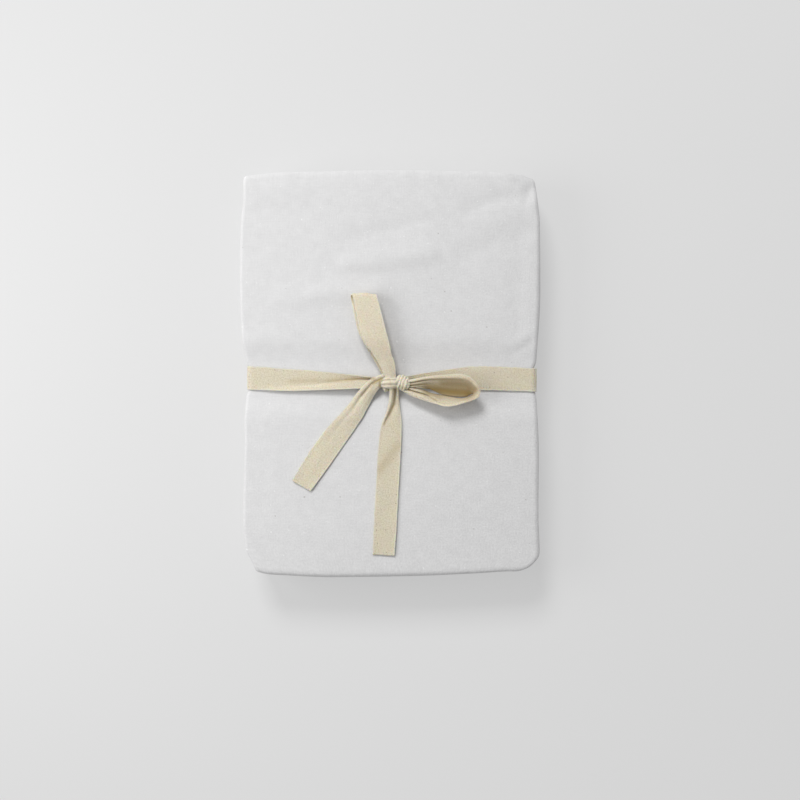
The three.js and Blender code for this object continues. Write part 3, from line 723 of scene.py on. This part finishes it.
# %% The knot
# Two short plies show on the left of the knot. The last turn of the tape is wound round them and
# pulled tight, so it is a small ring with ridges that run round it.
KNOT_LOBE = strap(
    [(0, -7.4, -4.6, 3.6), (4, -7.8, -5.6, 6.5), (7, -7.9, -6.6, 5.6), (10, -7.9, -7.6, 6.6),
     (13, -7.8, -8.8, 5.8), (16, -7.6, -9.6, 5.5), (19, -7.2, -10.2, 3.2)],
    [(0, -5.2, -3.2, 4.2), (4, -5.4, -4.6, 8.7), (7, -5.5, -6.2, 7.5), (10, -5.5, -7.6, 9.4),
     (13, -5.3, -9.2, 7.6), (16, -5.1, -10.4, 7.9), (19, -4.8, -11.6, 3.4)],
    [(0, -1.6, -2.4, 4.4), (4, -1.8, -4.0, 10.1), (7, -1.9, -5.6, 8.9), (10, -1.9, -7.2, 11.0),
     (13, -1.7, -9.0, 8.9), (16, -1.4, -10.6, 9.3), (19, -1.2, -12.0, 3.6)],
    [(0, 2.4, -2.4, 4.6), (4, 2.4, -3.9, 10.3), (7, 2.4, -5.4, 9.4), (10, 2.4, -7.0, 11.2),
     (13, 2.5, -8.8, 9.3), (16, 2.7, -10.4, 9.5), (19, 2.8, -11.8, 3.8)],
    [(0, 6.8, -3.0, 4.8), (4, 6.8, -4.4, 9.4), (7, 6.8, -5.8, 9.2), (10, 6.8, -7.2, 10.2),
     (13, 6.9, -8.7, 9.3), (16, 7.0, -10.0, 8.8), (19, 7.0, -11.2, 4.2)],
)
KNOT_PLY = strap(
    [(0, -6.2, -9.2, 3.6), (10, -5.4, -10.4, 5.4), (19, -4.0, -11.0, 3.4)],
    [(0, -5.8, -12.2, 3.0), (10, -4.2, -12.8, 6.4), (19, -1.6, -12.8, 3.4)],
    [(0, -4.4, -14.2, 2.4), (10, -2.8, -14.4, 4.2), (19, -0.8, -14.0, 2.6)],
)
WRAP_X = 9.6
WRAP_Y = -7.2
WRAP_LIFT = 6.2
WRAP_COLUMNS = 40
WRAP_STEPS = 60
WRAP_RADIUS = 5.2
WRAP_HALF = 5.6
WRAP_TURNED = -0.42
WRAP_FLATTENED = 0.92
WRAP_SHIFT = 0.5

# The ridges lean, and noise makes them uneven. The ring grows thinner towards both of its ends.
WRAP_RIDGES = 4.6
WRAP_RIDGE = 0.42
WRAP_LEAN = 0.9
WRAP_LEAN_START = 0.6
WRAP_UNEVEN = 1.6
WRAP_UNEVEN_LENGTH = 4.0
WRAP_THINNER = 0.42
WRAP_THINNER_POWER = 4


def knot_wrap_stations():
    """Stations round the wrap. Each row runs along the straps that the wrap holds."""
    found = []
    height = face_height(WRAP_X, WRAP_Y) + WRAP_LIFT
    for step in range(WRAP_STEPS + 1):
        angle = 2 * pi * step / WRAP_STEPS
        row = []
        for i in range(WRAP_COLUMNS + 1):
            share = i / WRAP_COLUMNS
            along = WRAP_HALF * (2 * share - 1) + WRAP_SHIFT * sin(angle)
            end = abs(2 * share - 1)
            uneven = noise.noise(Vector((along / WRAP_UNEVEN_LENGTH, angle, 0.0)))
            lean = WRAP_LEAN * sin(angle + WRAP_LEAN_START) + WRAP_UNEVEN * uneven
            ridge = WRAP_RIDGE * sin(pi * WRAP_RIDGES * (2 * share - 1) + lean)
            radius = (WRAP_RADIUS + ridge) * (1 - WRAP_THINNER * end ** WRAP_THINNER_POWER)
            x = along * cos(WRAP_TURNED) - radius * cos(angle) * sin(WRAP_TURNED)
            y = along * sin(WRAP_TURNED) + radius * cos(angle) * cos(WRAP_TURNED)
            z = radius * sin(angle) * WRAP_FLATTENED
            row.append(point(TAPE_WIDTH * share, WRAP_X + x, WRAP_Y + y, height + z))
        found.append(row)
    return found


# %% Painted shade in the bow's folds
# Painted shade: the tape is painted darker and golden in the bow's deep folds, in the right
# loop's opening and under the loops' rims. It stands in for their shadow and for light that
# bounces between yellow faces and grows yellower. The rows say where: a line on the face, how
# wide the shade is, and how strong. The tape's colour reads them.
ShadeLine = namedtuple("ShadeLine", "x1 y1 x2 y2 width depth")
PAINTED_SHADE_LINES = [
    ShadeLine(-80.0, -5.8, -44.0, -5.6, 1.3, 0.25),
    ShadeLine(-50.0, -6.2, -30.0, -4.9, 1.5, 0.4),
    ShadeLine(-36.0, -4.9, -13.0, -4.1, 0.9, 0.65),
    ShadeLine(-6.5, -4.2, -14.0, -7.8, 0.8, 0.9),
    ShadeLine(-14.0, -7.8, -23.0, -17.0, 0.8, 0.45),
    ShadeLine(3.4, -11.0, 3.6, -24.0, 1.0, 0.55),
    ShadeLine(3.0, -24.0, -1.0, -32.4, 0.9, 0.7),
    ShadeLine(-1.0, -32.4, -4.8, -40.0, 0.7, 0.5),
    ShadeLine(6.5, -57.0, -8.2, -77.0, 2.6, 0.28),
    ShadeLine(16.0, -7.4, 29.0, -4.9, 0.5, 0.7),
    ShadeLine(29.0, -4.9, 43.0, -4.4, 0.5, 0.7),
    ShadeLine(43.0, -4.4, 57.0, -5.2, 0.7, 0.6),
    ShadeLine(42.0, -8.2, 61.0, -9.6, 3.4, 0.7),
    ShadeLine(61.0, -9.8, 66.5, -13.0, 2.4, 0.7),
    ShadeLine(30.0, -12.6, 62.0, -15.4, 3.6, 1.0),
    ShadeLine(16.0, -9.4, 29.0, -8.1, 0.6, 0.8),
    ShadeLine(29.0, -8.1, 40.0, -10.2, 0.9, 0.5),
    ShadeLine(9.0, -10.8, 18.0, -13.8, 0.6, 0.9),
    ShadeLine(18.0, -13.8, 28.0, -16.7, 0.7, 0.9),
    ShadeLine(28.0, -16.7, 36.0, -21.2, 0.7, 0.6),
    ShadeLine(-31.2, 57.0, -30.6, 61.0, 0.9, 0.9),
    ShadeLine(-6.6, -4.0, -5.6, -5.0, 0.6, 0.9),
    ShadeLine(4.6, -5.0, 5.2, -10.4, 0.5, 0.8),
    ShadeLine(-8.4, -4.6, -8.4, -10.6, 0.6, 0.8),
    ShadeLine(-1.0, -4.0, 1.2, -10.4, 0.4, 0.5),
]
# Painted shade stays on the face of the bundle, above this height in millimetres.
SHADE_PAINTED_ABOVE = 30.0


def painted_shade_at(place):
    """How much painted shade a place on the bow gets, from 0 to 1."""
    depth = 0.0
    if place.z > SHADE_PAINTED_ABOVE:
        for fold in PAINTED_SHADE_LINES:
            start = Vector((fold.x1, fold.y1))
            run = Vector((fold.x2, fold.y2)) - start
            share = (place.xy - start).dot(run) / run.length_squared
            nearest = start + run * min(max(share, 0.0), 1.0)
            away = (place.xy - nearest).length / fold.width
            depth = max(depth, fold.depth * exp(-away * away / 2))
    return depth


# %% Join the strips into one mesh
# A cut end frays. All of the tape ripples a little, and where it is pale it is crumpled as well.
FRAY = 0.35
FRAY_SCALE = 3.1
RIPPLE = 0.16
RIPPLE_LENGTH = 7.0
CRUMPLE = 0.6
CRUMPLE_LENGTH = 2.4
SMOOTHING = 0.5
tape_bm = bmesh.new()
tape_flat = tape_bm.loops.layers.uv.new("flat")
tape_pale = tape_bm.verts.layers.float.new("pale")
# This layer holds the painted shade of the bow's folds and rims.
tape_painted_shade = tape_bm.verts.layers.float.new("depth")


def strip(bm, rows_found, tape_columns, pale=0.0, frayed=False):
    """Adds one strip of tape through its stations, and returns the length of its middle line."""
    last = len(rows_found) - 1
    middles = [place_across(row, TAPE_WIDTH / 2) for row in rows_found]
    travelled = [0.0]
    for a, b in zip(middles, middles[1:]):
        travelled.append(travelled[-1] + (b - a).length)
    made = bmesh.ops.create_grid(bm, x_segments=tape_columns, y_segments=last, size=0.5)["verts"]
    for face in {face for vert in made for face in vert.link_faces}:
        face.smooth = True
        for loop in face.loops:
            column, row = grid_index(loop.vert, tape_columns, last)
            across = TAPE_WIDTH * column / tape_columns
            loop[tape_flat].uv = (across * MM, travelled[row] * MM)
    for vert in made:
        column, row = grid_index(vert, tape_columns, last)
        vert.co = place_across(rows_found[row], TAPE_WIDTH * column / tape_columns)
        vert[tape_pale] = pale
        # Painted shade, read from the table of shaded lines.
        vert[tape_painted_shade] = painted_shade_at(vert.co)
        crumple = noise.noise_vector(vert.co / CRUMPLE_LENGTH) * CRUMPLE * pale
        vert.co += noise.noise_vector(vert.co / RIPPLE_LENGTH) * RIPPLE + crumple
        if frayed and row == last:
            onward = (middles[last] - middles[last - 1]).normalized()
            vert.co += onward * FRAY * noise.noise(vert.co * FRAY_SCALE)
    bmesh.ops.smooth_vert(
        bm, verts=made, factor=SMOOTHING, use_axis_x=True, use_axis_y=True, use_axis_z=True
    )
    return travelled[-1]


waist_stations = on_face(stations(LEFT_BAND)) + tape_round_back()
waist_stations += on_face(stations(RIGHT_BAND))[::-1]
lengths = {
    "waist": strip(tape_bm, waist_stations, TAPE_COLUMNS),
    "left tail": strip(tape_bm, on_face(stations(LEFT_TAIL)), TAPE_COLUMNS, frayed=True),
    "down tail": strip(tape_bm, on_face(stations(DOWN_TAIL)), TAPE_COLUMNS, frayed=True),
    # The upper loop's paleness is painted light, for the light that its face catches.
    "upper loop": strip(tape_bm, on_face(stations(UPPER_LOOP)), TAPE_COLUMNS, pale=0.4),
    "right loop": strip(tape_bm, on_face(stations(RIGHT_LOOP)), TAPE_COLUMNS),
    "knot lobe": strip(tape_bm, on_face(stations(KNOT_LOBE)), TAPE_COLUMNS, pale=1.0),
    "knot ply": strip(tape_bm, on_face(stations(KNOT_PLY)), TAPE_COLUMNS, pale=1.0),
    "knot wrap": strip(tape_bm, knot_wrap_stations(), WRAP_COLUMNS, pale=1.0),
}
print("tape, mm:", {name: round(length) for name, length in lengths.items()})
print("tape in all, mm:", round(sum(lengths.values())))
bmesh.ops.scale(tape_bm, vec=(MM, MM, MM), verts=tape_bm.verts)
tape = new_object("cotton_tape", tape_bm)
tape_body = tape.modifiers.new("thickness", "SOLIDIFY")
tape_body.thickness = TAPE_THICKNESS * MM
tape_body.offset = 0.0

# %% [markdown]
# ## Finishes
#
# Both cloths are cotton, but they look different. The protector is brushed, so its weave is soft
# and blurred, with a few lint fibres and slubs, and its grain is rougher towards the lower right of
# the face. The tape is unbleached canvas tape: a plain weave, a firm edge on both sides, and dark
# specks of seed. It is paler in the knot and the upper loop; on the upper loop the paleness is
# painted light, for the light that the loop's face catches. Painted shade makes the tape darker and
# golden in the bow's deep folds and under its loops, for their shadow and the light bounced there.
# Photographs of cloth could be wrapped round the meshes, but patterns made by nodes stay sharp at
# any distance, and here they follow each mesh's own flat coordinates, as a weave follows its cloth.

# %% A helper for materials
def new_material(name):
    """A new material, its nodes, and the shader among them."""
    material = bpy.data.materials.new(name)
    material.use_nodes = True
    tree = material.node_tree
    shader = tree.nodes["Principled BSDF"]
    return material, tree, shader


def add_node(tree, kind, inputs=None, **settings):
    """Adds a node, with its settings, and with values or links for its inputs."""
    made = tree.nodes.new(kind)
    for name, value in settings.items():
        setattr(made, name, value)
    for name, value in (inputs or {}).items():
        if isinstance(value, bpy.types.NodeSocket):
            tree.links.new(value, made.inputs[name])
        else:
            made.inputs[name].default_value = value
    return made


def flat_coordinates(tree, scale):
    """The mesh's flat coordinates, scaled: a scale of 1000 counts millimetres."""
    flat = add_node(tree, "ShaderNodeUVMap", uv_map="flat")
    mapped = add_node(tree, "ShaderNodeMapping", {"Vector": flat.outputs["UV"], "Scale": scale})
    return mapped.outputs["Vector"]


def noise_at(tree, scale, detail=2.0, roughness=0.5):
    """Noise on the flat sheet. The scale counts its swells in a metre, each way."""
    vector = flat_coordinates(tree, scale)
    made = add_node(
        tree, "ShaderNodeTexNoise",
        {"Vector": vector, "Scale": 1.0, "Detail": detail, "Roughness": roughness},
    )
    return made.outputs["Fac"]


def spread(tree, value, low, high, to_low=0.0, to_high=1.0):
    """Maps the values from low to high on a new range, and holds them inside it."""
    made = add_node(
        tree, "ShaderNodeMapRange",
        {"Value": value, "From Min": low, "From Max": high, "To Min": to_low, "To Max": to_high},
    )
    return made.outputs["Result"]


def sums(tree, operation, first, second):
    """One sum on two values. Each may be a number or a link."""
    made = add_node(tree, "ShaderNodeMath", operation=operation)
    for socket, value in zip(made.inputs, (first, second)):
        if isinstance(value, bpy.types.NodeSocket):
            tree.links.new(value, socket)
        else:
            socket.default_value = value
    return made.outputs["Value"]


def tinted(tree, share, under, over):
    """A colour that goes from one to the other with a share."""
    made = add_node(tree, "ShaderNodeMix", data_type="RGBA")
    tree.links.new(share, made.inputs["Factor"])
    for socket, value in ((made.inputs[6], under), (made.inputs[7], over)):
        if isinstance(value, bpy.types.NodeSocket):
            tree.links.new(value, socket)
        else:
            socket.default_value = value
    return made.outputs[2]


def woven(tree, threads, height_noise):
    """A plain weave's relief: two sets of threads, uneven as spun cotton is."""
    vector = flat_coordinates(tree, (threads, threads, 1.0))
    waves = []
    for direction in ("X", "Y"):
        wave = add_node(
            tree, "ShaderNodeTexWave",
            {"Vector": vector, "Scale": 1.0, "Distortion": 0.6, "Detail": 1.0},
            wave_type="BANDS", bands_direction=direction,
        )
        waves.append(wave.outputs["Fac"])
    crossing = sums(tree, "MULTIPLY", waves[0], waves[1])
    return sums(tree, "MULTIPLY", crossing, height_noise)


# %% Brushed cotton
cloth_material, tree, shader = new_material("brushed cotton")
CLOTH_WHITE = (0.785, 0.783, 0.785, 1.0)
CLOTH_DIM = (0.705, 0.703, 0.705, 1.0)
LINT = (0.88, 0.88, 0.88, 1.0)
SPECK = (0.55, 0.54, 0.53, 1.0)
ROUGH_REACH = 0.2
ROUGH_LEAST = 0.5
ROUGH_MOST = 2.6

mottle = noise_at(tree, (120.0, 120.0, 1.0), detail=4.0)
slub_across = noise_at(tree, (110.0, 900.0, 1.0), detail=2.0)
slub_along = noise_at(tree, (900.0, 110.0, 1.0), detail=2.0)
slubs = sums(tree, "ADD", slub_across, slub_along)
grain = noise_at(tree, (700.0, 700.0, 1.0), detail=2.0)
texture_place = add_node(tree, "ShaderNodeTexCoord")
apart = add_node(tree, "ShaderNodeSeparateXYZ", {"Vector": texture_place.outputs["Object"]})
to_lower_right = sums(tree, "SUBTRACT", apart.outputs["X"], apart.outputs["Y"])
rough = spread(tree, to_lower_right, -ROUGH_REACH, ROUGH_REACH, ROUGH_LEAST, ROUGH_MOST)
grain = sums(tree, "MULTIPLY", spread(tree, grain, 0.35, 0.65, -0.5, 0.5), rough)
shade = sums(tree, "ADD", spread(tree, mottle, 0.35, 0.65), spread(tree, slubs, 0.8, 1.2))
shade = sums(tree, "ADD", shade, sums(tree, "ADD", grain, 0.5))
base = tinted(tree, spread(tree, shade, 0.0, 3.0), CLOTH_DIM, CLOTH_WHITE)
lint = noise_at(tree, (420.0, 420.0, 1.0), detail=1.0)
base = tinted(tree, spread(tree, lint, 0.72, 0.78), base, LINT)
specks = noise_at(tree, (380.0, 390.0, 1.0), detail=0.0)
base = tinted(tree, spread(tree, specks, 0.85, 0.89), base, SPECK)
tree.links.new(base, shader.inputs["Base Color"])
shader.inputs["Roughness"].default_value = 0.95
shader.inputs["Specular IOR Level"].default_value = 0.15
shader.inputs["Sheen Weight"].default_value = 0.25
shader.inputs["Sheen Roughness"].default_value = 0.5

nap = noise_at(tree, (1500.0, 1500.0, 1.0), detail=3.0, roughness=0.6)
relief = sums(tree, "ADD", sums(tree, "MULTIPLY", slubs, 0.4), sums(tree, "MULTIPLY", nap, 0.8))
weave = woven(tree, 1400.0, nap)
relief = sums(tree, "ADD", relief, sums(tree, "MULTIPLY", weave, 0.3))
bump = add_node(tree, "ShaderNodeBump", {"Height": relief, "Strength": 0.6, "Distance": 0.0006})
tree.links.new(bump.outputs["Normal"], shader.inputs["Normal"])
cloth.data.materials.append(cloth_material)

# %% Unbleached cotton tape
tape_material, tree, shader = new_material("unbleached tape")
TAPE_LIGHT = (0.95, 0.875, 0.72, 1.0)
TAPE_DEEP = (0.73, 0.645, 0.47, 1.0)
TAPE_EDGE = (0.90, 0.85, 0.72, 1.0)
TAPE_PALE = (0.94, 0.85, 0.69, 1.0)
SEED = (0.50, 0.41, 0.27, 1.0)
# Painted shade: a darker gold that stands in for shadow and bounced light in the bow's folds.
PAINTED_SHADE_GOLD = (0.47, 0.35, 0.15, 1.0)
EDGE_FROM = 8.3
EDGE_TO = 8.9
PALEST = 0.5

warp = noise_at(tree, (1600.0, 160.0, 1.0), detail=2.0)
weft = noise_at(tree, (160.0, 1600.0, 1.0), detail=2.0)
cloudy = noise_at(tree, (70.0, 40.0, 1.0), detail=3.0)
grain = noise_at(tree, (900.0, 900.0, 1.0), detail=1.0)
threads = sums(tree, "ADD", warp, weft)
shade = sums(
    tree, "ADD",
    spread(tree, grain, 0.35, 0.65, 0.0, 1.2), spread(tree, cloudy, 0.3, 0.7, 0.0, 0.3),
)
shade = sums(tree, "ADD", shade, spread(tree, threads, 0.8, 1.2, 0.0, 0.5))
base = tinted(tree, spread(tree, shade, 0.0, 2.0), TAPE_DEEP, TAPE_LIGHT)
across = add_node(
    tree, "ShaderNodeSeparateXYZ", {"Vector": flat_coordinates(tree, (1000.0, 1000.0, 1.0))}
)
from_middle = sums(tree, "SUBTRACT", across.outputs["X"], TAPE_WIDTH / 2)
edge = spread(tree, sums(tree, "ABSOLUTE", from_middle, 0.0), EDGE_FROM, EDGE_TO)
base = tinted(tree, edge, base, TAPE_EDGE)
seeds = noise_at(tree, (620.0, 560.0, 1.0), detail=0.0)
base = tinted(tree, spread(tree, seeds, 0.78, 0.83), base, SEED)
# Painted shade: the tape turns darker and golden where the layer says so.
depth = add_node(tree, "ShaderNodeAttribute", attribute_name="depth").outputs["Fac"]
base = tinted(tree, depth, base, PAINTED_SHADE_GOLD)
# The knot and the upper loop are paler; on the upper loop this paleness is painted light.
paleness = add_node(tree, "ShaderNodeAttribute", attribute_name="pale").outputs["Fac"]
base = tinted(tree, sums(tree, "MULTIPLY", paleness, PALEST), base, TAPE_PALE)
tree.links.new(base, shader.inputs["Base Color"])
shader.inputs["Roughness"].default_value = 0.9
shader.inputs["Specular IOR Level"].default_value = 0.2
shader.inputs["Sheen Weight"].default_value = 0.1
shader.inputs["Subsurface Weight"].default_value = 0.35
shader.inputs["Subsurface Radius"].default_value = (1.0, 0.55, 0.2)
shader.inputs["Subsurface Scale"].default_value = 0.0012
shader.inputs["Sheen Roughness"].default_value = 0.5

weave = woven(tree, 1000.0, spread(tree, threads, 0.6, 1.4, 0.6, 1.2))
relief = sums(tree, "ADD", weave, sums(tree, "MULTIPLY", edge, 0.6))
bump = add_node(tree, "ShaderNodeBump", {"Height": relief, "Strength": 0.7, "Distance": 0.0004})
tree.links.new(bump.outputs["Normal"], shader.inputs["Normal"])
tape.data.materials.append(tape_material)

# %% [markdown]
# ## Floor, light and camera
#
# The photograph looks straight at the bundle's face. The bundle lies on its back here, so the
# camera looks straight down. Its height comes from the perspective, and its lens from the size of
# the bundle in the frame. The main light is a large soft lamp beyond the top of the bundle and a
# little to the left, so the bow's shadow falls to the lower right. A small, weak lamp on the left
# draws the creases, and a pale sky fills the shadows. The floor glows a little, as a light table
# does, so the shadow of the bundle stays weak.

# %% Floor
FLOOR_SIZE = 3.0
FLOOR_DROP = 0.0003
FLOOR_GREY = (0.32, 0.32, 0.32, 1.0)
FLOOR_GLOW = 0.41
PLAIN_WHITE = (1.0, 1.0, 1.0, 1.0)
floor_bm = bmesh.new()
bmesh.ops.create_grid(floor_bm, x_segments=1, y_segments=1, size=FLOOR_SIZE)
bmesh.ops.translate(floor_bm, vec=(0.0, 0.0, -FLOOR_DROP), verts=floor_bm.verts)
floor = new_object("floor", floor_bm)
floor_material, tree, shader = new_material("pale floor")
shader.inputs["Base Color"].default_value = FLOOR_GREY
shader.inputs["Roughness"].default_value = 0.8
shader.inputs["Emission Color"].default_value = PLAIN_WHITE
shader.inputs["Emission Strength"].default_value = FLOOR_GLOW
floor.data.materials.append(floor_material)

# %% Light
# Lamps have a place and a target in metres, a size in metres and a power in watts.
SKY_STRENGTH = 0.39
KEY_LAMP = ((-0.62, 1.86, 2.0), (0.0, 0.0, 0.0), 0.84, 43.5)
SIDE_LAMP = ((-0.6, 0.05, 0.5), (0.0, 0.0, 0.02), 0.45, 2.1)
world = bpy.data.worlds.new("sky")
bpy.context.scene.world = world
world.use_nodes = True
sky = world.node_tree.nodes["Background"]
sky.inputs["Color"].default_value = PLAIN_WHITE
sky.inputs["Strength"].default_value = SKY_STRENGTH


def softbox(name, place, target, size, power):
    """A square, soft lamp that looks at its target."""
    lamp = bpy.data.lights.new(name, "AREA")
    lamp.shape = "SQUARE"
    lamp.size = size
    lamp.energy = power
    obj = bpy.data.objects.new(name, lamp)
    obj.location = place
    obj.rotation_euler = (Vector(target) - Vector(place)).to_track_quat("-Z", "Y").to_euler()
    bpy.context.scene.collection.objects.link(obj)


softbox("key", *KEY_LAMP)
softbox("side", *SIDE_LAMP)

# %% Camera
CAMERA_PLACE = (0.0078, -0.021, 0.84)
CAMERA_LENS = 44.73
camera_data = bpy.data.cameras.new("camera")
camera_data.lens = CAMERA_LENS
camera_data.sensor_width = 36.0
camera_data.clip_start = 0.01
camera = bpy.data.objects.new("camera", camera_data)
camera.location = CAMERA_PLACE
bpy.context.scene.collection.objects.link(camera)
bpy.context.scene.camera = camera
bpy.context.scene.view_settings.view_transform = "Standard"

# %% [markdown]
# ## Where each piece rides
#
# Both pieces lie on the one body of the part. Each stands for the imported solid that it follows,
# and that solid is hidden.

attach(cloth, "root")
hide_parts("folded_protector")
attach(tape, "root")
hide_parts("tape_tie")
